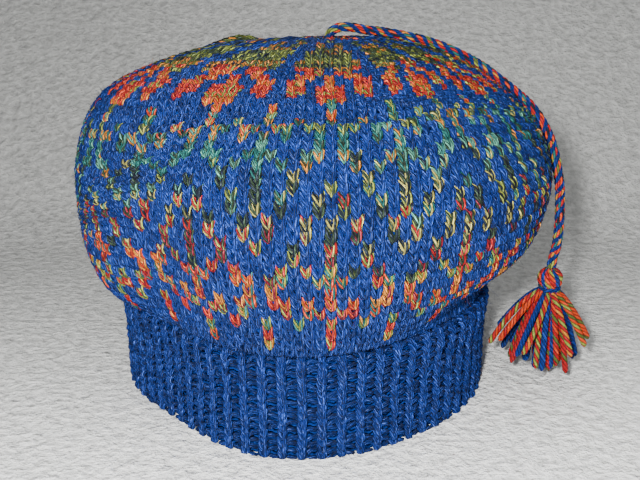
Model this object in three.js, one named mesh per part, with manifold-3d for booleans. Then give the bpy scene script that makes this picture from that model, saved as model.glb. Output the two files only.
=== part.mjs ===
// Knitted tam: a ribbed band, a hollow ballooning body, a twisted cord and its tassel.
// Millimetres, +Z up, origin at the middle of the footprint of band and body, front towards -Y.
import * as THREE from "three";
import { mergeVertices } from "three/addons/utils/BufferGeometryUtils.js";
import Module from "manifold-3d";

const wasm = await Module();
wasm.setup();

// Sizes of the body
const bodyWidth = 236; // side to side at the widest level
const bodyDepth = 214; // front to back at the widest level
const totalHeight = 170; // floor to crown centre
const beltHeight = 114; // floor to the widest level
const bodyWall = 3.6; // one layer of stranded knitting
const bodyOffset = 1.9; // the body's round lies to +X by this, as its right side is drawn in
const crownLean = 15; // degrees that the crown's centre has slid from the top
const crownHeading = 167; // turn that it has slid towards, nearly the back

// Sizes of the band
const bandWidth = 184; // outer diameter over the ribs
const bandHeight = 52;
const bandWall = 6; // two layers of ribbing
const bandOffset = -5.1; // the band stands to one side, under the lolling body
const ribCount = 64; // raised ribs round the band
const ribDepth = 1.6; // crest above valley
const lipBulge = 1.5; // how far the rounded top lip stands out

// Sizes of the cord and tassel
const cordDiameter = 5;
const headDiameter = 12; // ball knot
const headRise = 4.8; // neck's top to the ball's middle, which sinks the ball into the neck
const neckDiameter = 9.4; // wound neck below the knot
const neckFootDiameter = 10.6;
const neckLength = 4;
const skirtLength = 38; // neck to strand tips
const skirtWidth = 54; // across the spread tips
const lockCount = 14;
const lockWidth = 8;
const lockThickness = 5.8;
const innerLockEvery = 2; // every second lock hangs inside the others
const innerLockSpread = 0.45; // share of the outer locks' spread
const outerLockLength = 0.72; // share of the inner locks' length

// Clearances
const seamGap = 0.3; // between band and body, cord and crown, cord and tassel

// Mesh steps
const bodySteps = 60;
const outerRows = 24;
const innerRows = 12;
const stepsPerRib = 3;
const cordSteps = 32;
const cordHalfSides = 5; // sides in half a turn of the cord
const lockHalfSides = 4; // sides in half a turn of a lock
const lockSteps = 4;
const headSides = 14;
const headRings = 10;
const outlineStep = 0.004; // share of the outline over which its slope is measured
const weldDistance = 1e-4;

// Where the body's form changes, as shares of the way from seam to centre
const foldsBegin = 0.08; // folds and wall run level below this and square to the outline above it
const slideBegins = 0.1;
const slideEnds = 0.72;

// Body outline from the seam to the crown centre. Radius is the sum of a share of the seam's radius and a
// share of half the body's width, rise a share of the height from seam to top, and lean a share of the
// band's offset.
const OUTLINE = [
  { name: "seam", seam: 1.0, width: 0.0, rise: 0.0, lean: 1.0 },
  { name: "tuck", seam: 0.66, width: 0.29, rise: 0.022, lean: 0.9 },
  { name: "underside", seam: 0.45, width: 0.49, rise: 0.07, lean: 0.7 },
  { name: "low belly", seam: 0.2, width: 0.74, rise: 0.165, lean: 0.4 },
  { name: "belly", seam: 0.0, width: 0.95, rise: 0.29, lean: 0.2 },
  { name: "widest", seam: 0.0, width: 1.0, rise: 0.5, lean: 0.0 },
  { name: "high belly", seam: 0.0, width: 0.972, rise: 0.66, lean: 0.0 },
  { name: "shoulder", seam: 0.0, width: 0.885, rise: 0.79, lean: 0.0 },
  { name: "crown rim", seam: 0.0, width: 0.755, rise: 0.875, lean: 0.0 },
  { name: "outer crown", seam: 0.0, width: 0.565, rise: 0.94, lean: 0.0 },
  { name: "inner crown", seam: 0.0, width: 0.305, rise: 0.985, lean: 0.0 },
  { name: "centre", seam: 0.0, width: 0.0, rise: 1.0, lean: 0.0 },
];

// Folds, dents (positive) and bulges (negative). Turn is degrees from the front towards +X, level a
// share of the way from seam to centre, and depth a share of half the body's width.
const FOLDS = [
  { name: "left front dent", turn: -38, spread: 11, level: 0.33, reach: 0.16, depth: 0.05 },
  { name: "left lobe", turn: -66, spread: 20, level: 0.24, reach: 0.13, depth: -0.04 },
  { name: "right tuck", turn: 72, spread: 38, level: 0.16, reach: 0.13, depth: 0.09 },
  { name: "right shoulder", turn: 88, spread: 44, level: 0.6, reach: 0.18, depth: 0.09 },
  { name: "left side", turn: -100, spread: 50, level: 0.52, reach: 0.25, depth: 0.022 },
  { name: "front sag", turn: 4, spread: 40, level: 0.13, reach: 0.09, depth: -0.03 },
  { name: "crown crease", turn: 6, spread: 46, level: 0.71, reach: 0.03, depth: 0.022 },
  { name: "crown lump", turn: -128, spread: 16, level: 0.84, reach: 0.05, depth: -0.045 },
  { name: "crown dip", turn: -131, spread: 20, level: 0.89, reach: 0.045, depth: 0.028 },
  { name: "left shoulder", turn: -84, spread: 26, level: 0.6, reach: 0.09, depth: -0.028 },
  { name: "back fold", turn: 165, spread: 14, level: 0.3, reach: 0.16, depth: 0.035 },
  { name: "back sag", turn: -160, spread: 40, level: 0.15, reach: 0.1, depth: -0.03 },
];

// Where the band and seam draw in from a true circle. Turn is as above, depth a share of half the band's
// width.
const BAND_DENTS = [
  { name: "left front flat", turn: -48, spread: 24, depth: 0.1 },
  { name: "right front flat", turn: 40, spread: 24, depth: 0.035 },
  { name: "back flat", turn: 170, spread: 40, depth: 0.04 },
];

// Cord route from its start at the crown centre to the knot of the tassel, chosen by hand
const CORD_ROUTE = [
  [8.3, 29.2, 171.8], [12.9, 31, 173.6], [18.9, 32.4, 173.4], [25.9, 33, 172], [33.4, 32, 171.4],
  [43.4, 30, 170], [53.4, 28, 168.2], [61.4, 26, 166], [68.9, 24, 163.4], [75.9, 21, 160.4],
  [83.2, 18, 156.8], [90.9, 14, 151.6], [98.6, 9, 146.2], [105.9, 4, 140.2], [112.1, -1, 131.8],
  [116.3, -5, 122.4], [118.7, -8, 112.4], [120.4, -10, 103], [121, -11, 93.5], [121.2, -12, 83.7],
  [120.9, -12, 73.5], [119.7, -12, 66.8], [119.1, -12, 61.3],
];

const halfWidth = bodyWidth / 2;
const bandInnerRadius = bandWidth / 2 - bandWall;
const seamRadius = bandInnerRadius + bodyWall;
const seamHeight = bandHeight + seamGap;
const bodyRise = totalHeight - seamHeight;
const degrees = Math.PI / 180;

// Catmull-Rom value of one outline column at share 0 to 1 of the way from seam to centre
function outlineValue(column, share) {
  const last = OUTLINE.length - 1;
  const place = THREE.MathUtils.clamp(share, 0, 1) * last;
  const index = Math.min(Math.floor(place), last - 1);
  const t = place - index;
  const at = (i) => {
    if (i < 0) return 2 * OUTLINE[0][column] - OUTLINE[1][column];
    if (i > last) return OUTLINE[last - 1][column] * (column === "width" ? -1 : 1);
    return OUTLINE[i][column];
  };
  const [a, b, c, d] = [at(index - 1), at(index), at(index + 1), at(index + 2)];
  const slopeB = (c - a) / 2;
  const slopeC = (d - b) / 2;
  const t2 = t * t;
  const t3 = t2 * t;
  return (2 * t3 - 3 * t2 + 1) * b + (t3 - 2 * t2 + t) * slopeB + (3 * t2 - 2 * t3) * c + (t3 - t2) * slopeC;
}

// Radius and height of the plain outline, in millimetres
function outlinePoint(share) {
  const radius = outlineValue("seam", share) * seamRadius + outlineValue("width", share) * halfWidth;
  return [radius, seamHeight + outlineValue("rise", share) * bodyRise];
}

// Turn from one heading to another, in degrees between -180 and 180
function turnBetween(turn, heading) {
  return ((turn - heading + 540) % 360) - 180;
}

// How far the band and seam draw in at a turn in degrees, in millimetres
function bandDent(turn) {
  let depth = 0;
  for (const dent of BAND_DENTS) {
    depth += dent.depth * Math.exp(-((turnBetween(turn, dent.turn) / dent.spread) ** 2));
  }
  return (depth * bandWidth) / 2;
}

// Depth of all folds together, in millimetres, at a turn in degrees and a share of the outline
function foldDepth(turn, share) {
  let depth = 0;
  for (const fold of FOLDS) {
    const around = turnBetween(turn, fold.turn);
    const along = share - fold.level;
    depth += fold.depth * Math.exp(-((around / fold.spread) ** 2) - (along / fold.reach) ** 2);
  }
  return depth * halfWidth;
}

// Point of the body at a turn in degrees and a share of the outline, sunk inwards by the given amount
function bodyPoint(turn, share, sunk) {
  const [radius, height] = outlinePoint(share);
  const [lowRadius, lowHeight] = outlinePoint(Math.max(share - outlineStep, 0));
  const [highRadius, highHeight] = outlinePoint(Math.min(share + outlineStep, 1));
  const tilt = Math.atan2(lowRadius - highRadius, highHeight - lowHeight);
  const upright = THREE.MathUtils.smoothstep(share, 0, foldsBegin);
  const inward = sunk + foldDepth(turn, share) * upright;
  const angle = turn * degrees;
  const drawn = bandDent(turn) * outlineValue("seam", share);
  const reach = radius - drawn - inward * Math.cos(tilt * upright);
  const level = height - inward * Math.sin(tilt * upright);
  const slide = crownLean * degrees * THREE.MathUtils.smoothstep(share, slideBegins, slideEnds);
  const crownRise = totalHeight - beltHeight;
  const heading = crownHeading * degrees;
  const along = (reach * Math.cos(angle - heading)) / halfWidth;
  const above = (level - beltHeight) / crownRise;
  const moved = halfWidth * (along * Math.cos(slide) + above * Math.sin(slide));
  const across = reach * Math.sin(angle - heading);
  const middle = THREE.MathUtils.lerp(bodyOffset, bandOffset, outlineValue("lean", share));
  const flattening = THREE.MathUtils.lerp(bodyDepth / bodyWidth, 1, outlineValue("seam", share));
  return [
    middle + moved * Math.sin(heading) + across * Math.cos(heading),
    flattening * (across * Math.sin(heading) - moved * Math.cos(heading)),
    beltHeight + crownRise * (above * Math.cos(slide) - along * Math.sin(slide)),
  ];
}

// Closed geometry from vertices and triangles given as nested lists
function closedGeometry(points, triangles) {
  const geometry = new THREE.BufferGeometry();
  geometry.setAttribute("position", new THREE.Float32BufferAttribute(points.flat(), 3));
  geometry.setIndex(triangles.flat());
  return geometry;
}

// Triangles between two rings of the same number of points, given by their first indices
function ringTriangles(lower, upper, count) {
  const triangles = [];
  for (let i = 0; i < count; i += 1) {
    const next = (i + 1) % count;
    triangles.push([lower + i, lower + next, upper + next], [lower + i, upper + next, upper + i]);
  }
  return triangles;
}

// Hollow body: an outer skin, an inner skin one wall inside it, and a rim that joins them at the seam
function makeBody() {
  const points = [];
  const triangles = [];
  const addSkin = (rows, sunk, upwards) => {
    const first = points.length;
    for (let row = 0; row < rows; row += 1) {
      for (let i = 0; i < bodySteps; i += 1) {
        points.push(bodyPoint((360 * i) / bodySteps, row / rows, sunk));
      }
    }
    const pole = points.length;
    points.push(bodyPoint(0, 1, sunk));
    for (let row = 0; row < rows - 1; row += 1) {
      const lower = first + row * bodySteps;
      const [a, b] = upwards ? [lower, lower + bodySteps] : [lower + bodySteps, lower];
      triangles.push(...ringTriangles(a, b, bodySteps));
    }
    const top = first + (rows - 1) * bodySteps;
    for (let i = 0; i < bodySteps; i += 1) {
      const pair = [top + i, top + ((i + 1) % bodySteps)];
      triangles.push(upwards ? [pair[0], pair[1], pole] : [pair[1], pair[0], pole]);
    }
    return first;
  };
  const outer = addSkin(outerRows, 0, true);
  const inner = addSkin(innerRows, bodyWall, false);
  triangles.push(...ringTriangles(inner, outer, bodySteps));
  return closedGeometry(points, triangles);
}

// Band section from the floor outside, over the lip and down inside. Reach is a share of the wall out
// from the inner face, height a share of the band's height, rib a share of the rib depth, and lip a
// share of the lip's bulge.
const BAND_SECTION = [
  { name: "floor edge", reach: 1.0, height: 0.0, rib: 1.0, lip: 0.0 },
  { name: "lower side", reach: 1.0, height: 0.2, rib: 1.0, lip: 0.0 },
  { name: "upper side", reach: 1.0, height: 0.7, rib: 1.0, lip: 0.0 },
  { name: "under lip", reach: 1.0, height: 0.84, rib: 1.0, lip: 0.8 },
  { name: "lip", reach: 1.0, height: 0.93, rib: 1.0, lip: 1.0 },
  { name: "lip top", reach: 0.75, height: 0.99, rib: 0.6, lip: 0.7 },
  { name: "seam edge", reach: 0.45, height: 1.0, rib: 0.0, lip: 0.0 },
  { name: "inner top", reach: 0.0, height: 1.0, rib: 0.0, lip: 0.0 },
  { name: "inner floor", reach: 0.0, height: 0.0, rib: 0.0, lip: 0.0 },
];

// Band with a rib crest every 360 / ribCount degrees
function makeBand() {
  const count = ribCount * stepsPerRib;
  const points = [];
  for (const row of BAND_SECTION) {
    for (let i = 0; i < count; i += 1) {
      const angle = (2 * Math.PI * i) / count;
      const valley = (1 - Math.cos(ribCount * angle)) / 2;
      const outer = bandWall * row.reach - ribDepth * row.rib * valley + lipBulge * row.lip;
      const reach = bandInnerRadius + outer - bandDent(angle / degrees);
      points.push([bandOffset + reach * Math.sin(angle), -reach * Math.cos(angle), bandHeight * row.height]);
    }
  }
  const triangles = [];
  for (let row = 0; row < BAND_SECTION.length; row += 1) {
    const next = (row + 1) % BAND_SECTION.length;
    triangles.push(...ringTriangles(row * count, next * count, count));
  }
  return closedGeometry(points, triangles);
}

// Cord as a plain round tube along its route
function makeCord() {
  const section = new THREE.Shape();
  section.absarc(0, 0, cordDiameter / 2, 0, 2 * Math.PI);
  const route = new THREE.CatmullRomCurve3(CORD_ROUTE.map((point) => new THREE.Vector3(...point)));
  return new THREE.ExtrudeGeometry(section, {
    steps: cordSteps,
    curveSegments: cordHalfSides,
    extrudePath: route,
    bevelEnabled: false,
  });
}

// Manifold solid of a closed geometry, with its shared vertices merged
function solidOf(geometry) {
  const bare = geometry.clone();
  bare.deleteAttribute("normal");
  bare.deleteAttribute("uv");
  const merged = mergeVertices(bare, weldDistance);
  return new wasm.Manifold(
    new wasm.Mesh({
      numProp: 3,
      vertProperties: new Float32Array(merged.attributes.position.array),
      triVerts: new Uint32Array(merged.index.array),
    }),
  );
}

// Geometry of a manifold solid
function geometryOf(solid) {
  const mesh = solid.getMesh();
  const geometry = new THREE.BufferGeometry();
  geometry.setAttribute("position", new THREE.BufferAttribute(new Float32Array(mesh.vertProperties), 3));
  geometry.setIndex(new THREE.BufferAttribute(new Uint32Array(mesh.triVerts), 1));
  return geometry;
}

// Middle line of a lock from inside the neck to its tip, as shares of the lock's spread and length
const LOCK_ROUTE = [
  { name: "root", out: 0.0, down: -0.07 },
  { name: "bend", out: 0.34, down: 0.2 },
  { name: "side", out: 0.76, down: 0.6 },
  { name: "tip", out: 1.0, down: 1.0 },
];

// One lock of the skirt: a flat-sided strip that leaves the neck and curves outwards to its tip
function makeLock(turn, spread, length) {
  const points = LOCK_ROUTE.map((spot) => new THREE.Vector3(spread * spot.out, 0, -length * spot.down));
  const route = new THREE.CatmullRomCurve3(points);
  const section = new THREE.Shape();
  section.absellipse(0, 0, lockThickness / 2, lockWidth / 2, 0, 2 * Math.PI);
  const lock = new THREE.ExtrudeGeometry(section, {
    steps: lockSteps,
    curveSegments: lockHalfSides,
    extrudePath: route,
    bevelEnabled: false,
  });
  return lock.rotateZ(turn);
}

// Tassel with its neck's foot at the origin: ball knot, wound neck and a skirt of locks
function makeTassel() {
  const knot = new THREE.SphereGeometry(headDiameter / 2, headSides, headRings);
  knot.rotateX(Math.PI / 2);
  knot.translate(0, 0, neckLength + headRise);
  const neck = new THREE.CylinderGeometry(neckDiameter / 2, neckFootDiameter / 2, neckLength, headSides);
  neck.rotateX(Math.PI / 2);
  neck.translate(0, 0, neckLength / 2);
  let solid = solidOf(knot).add(solidOf(neck));
  for (let i = 0; i < lockCount; i += 1) {
    const inner = i % innerLockEvery === innerLockEvery - 1;
    const spread = ((skirtWidth - lockThickness) / 2) * (inner ? innerLockSpread : 1);
    const turn = (2 * Math.PI * i) / lockCount;
    const length = skirtLength * (inner ? 1 : outerLockLength);
    solid = solid.add(solidOf(makeLock(turn, spread, length)));
  }
  return geometryOf(solid);
}

// Named mesh of one piece
function piece(name, geometry, color) {
  const material = new THREE.MeshStandardMaterial({ color, roughness: 0.95, metalness: 0 });
  const mesh = new THREE.Mesh(geometry, material);
  mesh.name = name;
  return mesh;
}

const tam = new THREE.Group();
tam.add(piece("ribbed_band", makeBand(), "#1f4796"));
tam.add(piece("tam_body", makeBody(), "#234d9c"));
tam.add(piece("twisted_cord", makeCord(), "#8f6a4a"));

const tassel = piece("tassel", makeTassel(), "#a8643c");
const cordEnd = CORD_ROUTE[CORD_ROUTE.length - 1];
const knotTop = neckLength + headRise + headDiameter / 2;
tassel.position.set(cordEnd[0], cordEnd[1], cordEnd[2] - seamGap - knotTop);
tam.add(tassel);

export default tam;
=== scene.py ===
"""Dresses a knitted tam: ribbed band, stranded body, twisted cord and tassel, stitch by stitch."""

import logging
import math
from collections.abc import Callable, Sequence
from dataclasses import dataclass
from enum import Enum
from typing import NamedTuple

import bmesh
import bpy
import numpy as np
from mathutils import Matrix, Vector


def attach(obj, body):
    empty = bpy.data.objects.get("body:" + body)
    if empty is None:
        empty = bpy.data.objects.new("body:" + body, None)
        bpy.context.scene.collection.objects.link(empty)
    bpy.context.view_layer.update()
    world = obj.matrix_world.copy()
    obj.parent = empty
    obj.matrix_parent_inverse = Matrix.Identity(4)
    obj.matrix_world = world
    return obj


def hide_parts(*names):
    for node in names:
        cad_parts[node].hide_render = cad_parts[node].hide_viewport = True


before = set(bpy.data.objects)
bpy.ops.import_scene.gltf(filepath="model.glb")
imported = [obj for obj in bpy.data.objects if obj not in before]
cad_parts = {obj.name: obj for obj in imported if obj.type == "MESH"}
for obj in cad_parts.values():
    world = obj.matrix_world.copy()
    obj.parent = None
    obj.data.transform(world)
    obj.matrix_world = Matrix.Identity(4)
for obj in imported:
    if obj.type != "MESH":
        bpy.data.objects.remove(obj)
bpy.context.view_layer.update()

LOG = logging.getLogger("tam")
Triple = tuple[float, float, float]
Colour = Triple
Piece = bpy.types.Object
Socket = bpy.types.NodeSocket
Material = bpy.types.Material
NodeTree = bpy.types.NodeTree
Outputs = bpy.types.NodeOutputs
Random = np.random.Generator
Profile = Callable[[np.ndarray, np.ndarray], np.ndarray]


class OutlineRow(NamedTuple):
    """One level of the body's outline, from the seam to the crown centre."""

    name: str
    seam: float
    width: float
    rise: float
    lean: float


class Fold(NamedTuple):
    """A dent, or a bulge where the depth is negative."""

    name: str
    turn: float
    spread: float
    level: float
    reach: float
    depth: float


class BandDent(NamedTuple):
    """A place where the band draws in from a true circle."""

    name: str
    turn: float
    spread: float
    depth: float


# Shares of the seam's radius, of half the width, of the rise and of the band's offset
OUTLINE = [
    OutlineRow("seam", 1.0, 0.0, 0.0, 1.0),
    OutlineRow("tuck", 0.66, 0.29, 0.022, 0.9),
    OutlineRow("underside", 0.45, 0.49, 0.07, 0.7),
    OutlineRow("low belly", 0.2, 0.74, 0.165, 0.4),
    OutlineRow("belly", 0.0, 0.95, 0.29, 0.2),
    OutlineRow("widest", 0.0, 1.0, 0.5, 0.0),
    OutlineRow("high belly", 0.0, 0.972, 0.66, 0.0),
    OutlineRow("shoulder", 0.0, 0.885, 0.79, 0.0),
    OutlineRow("crown rim", 0.0, 0.755, 0.875, 0.0),
    OutlineRow("outer crown", 0.0, 0.565, 0.94, 0.0),
    OutlineRow("inner crown", 0.0, 0.305, 0.985, 0.0),
    OutlineRow("centre", 0.0, 0.0, 1.0, 0.0),
]

# Turn and spread in degrees from the front, level and reach as shares of the outline
FOLDS = [
    Fold("left front dent", -38, 11, 0.33, 0.16, 0.05),
    Fold("left lobe", -66, 20, 0.24, 0.13, -0.04),
    Fold("right tuck", 72, 38, 0.16, 0.13, 0.09),
    Fold("right shoulder", 88, 44, 0.6, 0.18, 0.09),
    Fold("left side", -100, 50, 0.52, 0.25, 0.022),
    Fold("front sag", 4, 40, 0.13, 0.09, -0.03),
    Fold("crown crease", 6, 46, 0.71, 0.03, 0.022),
    Fold("crown lump", -128, 16, 0.84, 0.05, -0.045),
    Fold("crown dip", -131, 20, 0.89, 0.045, 0.028),
    Fold("left shoulder", -84, 26, 0.6, 0.09, -0.028),
    Fold("back fold", 165, 14, 0.3, 0.16, 0.035),
    Fold("back sag", -160, 40, 0.15, 0.1, -0.03),
    Fold("shoulder under the cord", 86, 34, 0.59, 0.085, -0.027),
    Fold("crown beside the cord", 100, 40, 0.915, 0.07, -0.018),
    Fold("crease under the flowers", -3, 26, 0.638, 0.015, 0.020),
    Fold("left crease, upper", -40, 6, 0.604, 0.024, 0.026),
    Fold("left crease, middle", -45, 6, 0.547, 0.024, 0.030),
    Fold("left crease, lower", -53, 7, 0.488, 0.024, 0.028),
]

BAND_DENTS = [
    BandDent("left front flat", -48, 24, 0.1),
    BandDent("right front flat", 40, 24, 0.035),
    BandDent("back flat", 170, 40, 0.04),
]

# The cord's route from the crown centre to the tassel's knot, in metres
CORD_ROUTE = [
    (0.0083, 0.0292, 0.1718), (0.0129, 0.0310, 0.1736), (0.0189, 0.0324, 0.1734), (0.0259, 0.0330, 0.1720),
    (0.0334, 0.0320, 0.1714), (0.0434, 0.0300, 0.1700), (0.0534, 0.0280, 0.1682), (0.0614, 0.0260, 0.1660),
    (0.0689, 0.0240, 0.1634), (0.0759, 0.0210, 0.1604), (0.0832, 0.0180, 0.1568), (0.0909, 0.0140, 0.1516),
    (0.0986, 0.0090, 0.1462), (0.1059, 0.0040, 0.1402), (0.1121, -0.0010, 0.1318), (0.1163, -0.0050, 0.1224),
    (0.1187, -0.0080, 0.1124), (0.1204, -0.0100, 0.1030), (0.1210, -0.0110, 0.0935), (0.1212, -0.0120, 0.0837),
    (0.1209, -0.0120, 0.0735), (0.1197, -0.0120, 0.0668), (0.1191, -0.0120, 0.0613),
]


def smoothstep(value: np.ndarray, low: float, high: float) -> np.ndarray:
    """Eased ramp from 0 at low to 1 at high."""
    ramp = np.clip((value - low) / (high - low), 0.0, 1.0)
    return ramp * ramp * (3.0 - 2.0 * ramp)


def turn_between(turn: np.ndarray, heading: float) -> np.ndarray:
    """Turn from a heading to each turn, in degrees between -180 and 180."""
    return np.mod(turn - heading + 540.0, 360.0) - 180.0


def between(row: Sequence[np.ndarray], t: np.ndarray) -> np.ndarray:
    """Smooth Catmull-Rom value between the second and the third of four.

    Args:
        row: Four values or points in a row.
        t: Share of the way from the second to the third.

    Returns:
        The value or point at each share.
    """
    a, b, c, d = row
    return (
        (2 * t**3 - 3 * t**2 + 1) * b
        + (t**3 - 2 * t**2 + t) * ((c - a) / 2)
        + (3 * t**2 - 2 * t**3) * c
        + (t**3 - t**2) * ((d - b) / 2)
    )


def run_along(path: np.ndarray) -> np.ndarray:
    """Distance of each point along its path."""
    steps = np.linalg.norm(np.diff(path, axis=-2), axis=-1)
    return np.concatenate([np.zeros_like(steps[..., :1]), np.cumsum(steps, axis=-1)], axis=-1)


def ring_point(turn: np.ndarray, middle: float, reach: np.ndarray, height: np.ndarray) -> np.ndarray:
    """Points at a reach from an upright axis that stands at middle on X."""
    angle = np.radians(turn)
    return np.stack([middle + reach * np.sin(angle), -reach * np.cos(angle), height], axis=-1)


@dataclass(frozen=True)
class TamForm:
    """The hat's form as a function of turn and share, in metres.

    Turn is in degrees from the front towards +X, and share runs from 0 at the seam to 1 at the crown centre.
    """

    body_width: float = 0.236
    body_depth: float = 0.214
    total_height: float = 0.170
    belt_height: float = 0.114
    body_wall: float = 0.0036
    body_offset: float = 0.0019
    crown_lean: float = 15.0
    crown_heading: float = 167.0
    band_width: float = 0.184
    band_height: float = 0.052
    band_wall: float = 0.006
    band_offset: float = -0.0051
    rib_count: int = 64
    seam_gap: float = 0.0003
    # Half the share over which the slope of the outline is taken
    slope_step: float = 0.004
    # Shares over which folds begin above the seam, and over which the crown comes to lean
    folds_begin: tuple[float, float] = (0.0, 0.08)
    lean_begins: tuple[float, float] = (0.1, 0.72)
    # Share from which the band's face turns level over the lip
    lip_begins: float = 0.8

    @property
    def half_width(self) -> float:
        """Half the body's greatest width."""
        return self.body_width / 2

    @property
    def band_inner_radius(self) -> float:
        """Radius of the band's inner face."""
        return self.band_width / 2 - self.band_wall

    @property
    def seam_radius(self) -> float:
        """Radius of the body's outer face where it meets the band."""
        return self.band_inner_radius + self.body_wall

    @property
    def seam_height(self) -> float:
        """Height of the seam above the floor."""
        return self.band_height + self.seam_gap

    def column(self, name: str, share: np.ndarray) -> np.ndarray:
        """Smooth value of one outline column.

        Args:
            name: The column of the outline table.
            share: Places from 0 at the seam to 1 at the crown centre.

        Returns:
            The Catmull-Rom value at each place.
        """
        values = [getattr(row, name) for row in OUTLINE]
        last = len(values) - 1
        mirror = -1.0 if name == "width" else 1.0
        padded = np.array([2 * values[0] - values[1], *values, values[last - 1] * mirror])
        place = np.clip(share, 0.0, 1.0) * last
        index = np.minimum(np.floor(place).astype(int), last - 1)
        return between([padded[index + step] for step in range(4)], place - index)

    def outline(self, share: np.ndarray) -> tuple[np.ndarray, np.ndarray]:
        """Radius and height of the plain outline.

        Args:
            share: Places from the seam to the crown centre.

        Returns:
            The radius and the height at each place.
        """
        radius = self.column("seam", share) * self.seam_radius + self.column("width", share) * self.half_width
        rise = self.total_height - self.seam_height
        return radius, self.seam_height + self.column("rise", share) * rise

    def band_dent(self, turn: np.ndarray) -> np.ndarray:
        """How far the band and the seam draw in.

        Args:
            turn: Degrees from the front towards +X.

        Returns:
            The depth at each turn, in metres.
        """
        depth = np.zeros_like(turn)
        for dent in BAND_DENTS:
            depth += dent.depth * np.exp(-((turn_between(turn, dent.turn) / dent.spread) ** 2))
        return depth * self.band_width / 2

    def fold_depth(self, turn: np.ndarray, share: np.ndarray) -> np.ndarray:
        """Depth of all folds together.

        Args:
            turn: Degrees from the front towards +X.
            share: Places from the seam to the crown centre.

        Returns:
            The depth at each place, in metres.
        """
        depth = np.zeros_like(turn)
        for fold in FOLDS:
            around = turn_between(turn, fold.turn) / fold.spread
            along = (share - fold.level) / fold.reach
            depth += fold.depth * np.exp(-(around**2) - along**2)
        return depth * self.half_width

    def body(self, turn: np.ndarray, share: np.ndarray, lift: np.ndarray) -> np.ndarray:
        """Points on or near the body's outer face.

        Args:
            turn: Degrees from the front towards +X.
            share: Places from the seam to the crown centre.
            lift: Distance out from the face, in metres.

        Returns:
            An array of points, one row each.
        """
        radius, height = self.outline(share)
        low_radius, low_height = self.outline(np.maximum(share - self.slope_step, 0.0))
        high_radius, high_height = self.outline(np.minimum(share + self.slope_step, 1.0))
        tilt = np.arctan2(low_radius - high_radius, high_height - low_height)
        upright = smoothstep(share, *self.folds_begin)
        inward = self.fold_depth(turn, share) * upright - lift
        drawn = self.band_dent(turn) * self.column("seam", share)
        reach = radius - drawn - inward * np.cos(tilt * upright)
        level = height - inward * np.sin(tilt * upright)
        slide = np.radians(self.crown_lean) * smoothstep(share, *self.lean_begins)
        heading = math.radians(self.crown_heading)
        crown_rise = self.total_height - self.belt_height
        angle = np.radians(turn)
        along = reach * np.cos(angle - heading) / self.half_width
        above = (level - self.belt_height) / crown_rise
        moved = self.half_width * (along * np.cos(slide) + above * np.sin(slide))
        across = reach * np.sin(angle - heading)
        middle = self.body_offset + (self.band_offset - self.body_offset) * self.column("lean", share)
        ratio = self.body_depth / self.body_width
        flattening = ratio + (1.0 - ratio) * self.column("seam", share)
        return np.stack(
            [
                middle + moved * math.sin(heading) + across * math.cos(heading),
                flattening * (across * math.sin(heading) - moved * math.cos(heading)),
                self.belt_height + crown_rise * (above * np.cos(slide) - along * np.sin(slide)),
            ],
            axis=-1,
        )

    def band(self, turn: np.ndarray, share: np.ndarray, lift: np.ndarray) -> np.ndarray:
        """Points on or near the band's outer face, without its ribs.

        Args:
            turn: Degrees from the front towards +X.
            share: Places from 0 at the floor, over the lip, to 1 at the seam.
            lift: Distance out from the face, in metres.

        Returns:
            An array of points, one row each.
        """
        places = np.array([0.0, 0.25, 0.62, 0.76, 0.84, 0.91, 0.97, 1.0])
        reaches = np.array([0.0, 0.0, 0.0, 0.0010, 0.0016, 0.0004, -0.0026, -0.0046])
        heights = np.array([0.0, 0.27, 0.66, 0.81, 0.90, 0.975, 1.0, 0.985]) * self.band_height
        reach = np.interp(share, places, reaches) + self.band_width / 2
        height = np.interp(share, places, heights)
        tip = smoothstep(share, self.lip_begins, 1.0) * math.pi / 2
        reach = reach - self.band_dent(turn) + lift * np.cos(tip)
        return ring_point(turn, self.band_offset, reach, height + lift * np.sin(tip))


class Zone(NamedTuple):
    """Yarn shades that a stretch of pattern rows is knitted in."""

    name: str
    first_row: int
    shades: tuple[Colour, ...]


BLUE_SHADES: tuple[Colour, ...] = (
    (0.0030, 0.020, 0.160),
    (0.0045, 0.028, 0.215),
    (0.0065, 0.037, 0.265),
    (0.0110, 0.052, 0.330),
)
ORANGE: Colour = (0.76, 0.062, 0.003)
RED: Colour = (0.48, 0.010, 0.008)
AMBER: Colour = (0.70, 0.24, 0.015)
CREAM: Colour = (0.50, 0.44, 0.10)
LIME: Colour = (0.31, 0.36, 0.05)
OLIVE: Colour = (0.11, 0.14, 0.022)
TEAL: Colour = (0.018, 0.15, 0.13)
MOSS: Colour = (0.035, 0.060, 0.026)
MINT: Colour = (0.10, 0.34, 0.24)
INK: Colour = (0.010, 0.014, 0.022)
CRIMSON: Colour = (0.26, 0.010, 0.022)

# The variegated yarn changes slowly as it is knitted, so each stretch of rows has its own shades
ZONES = [
    Zone("tips", -3, (ORANGE, AMBER, RED, LIME, ORANGE, TEAL, RED)),
    Zone("low lace", 3, (ORANGE, AMBER, TEAL, RED, LIME, CRIMSON, AMBER)),
    Zone("dark lace", 7, (INK, CRIMSON, LIME, MOSS, RED, INK, CREAM, MOSS)),
    Zone("green lace", 12, (MOSS, LIME, INK, TEAL, CREAM, MOSS, MINT, INK)),
    Zone("mint lace", 16, (TEAL, MINT, TEAL, AMBER, MOSS, MINT)),
    Zone("top lace", 20, (MINT, LIME, ORANGE, MOSS, CREAM, TEAL)),
    Zone("flowers", 23, (ORANGE, AMBER, RED, ORANGE, LIME, RED, ORANGE)),
    Zone("star", 31, (OLIVE, MOSS, LIME, OLIVE, INK, AMBER, OLIVE)),
    Zone("button", 41, (INK, OLIVE, AMBER, ORANGE)),
]

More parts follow.
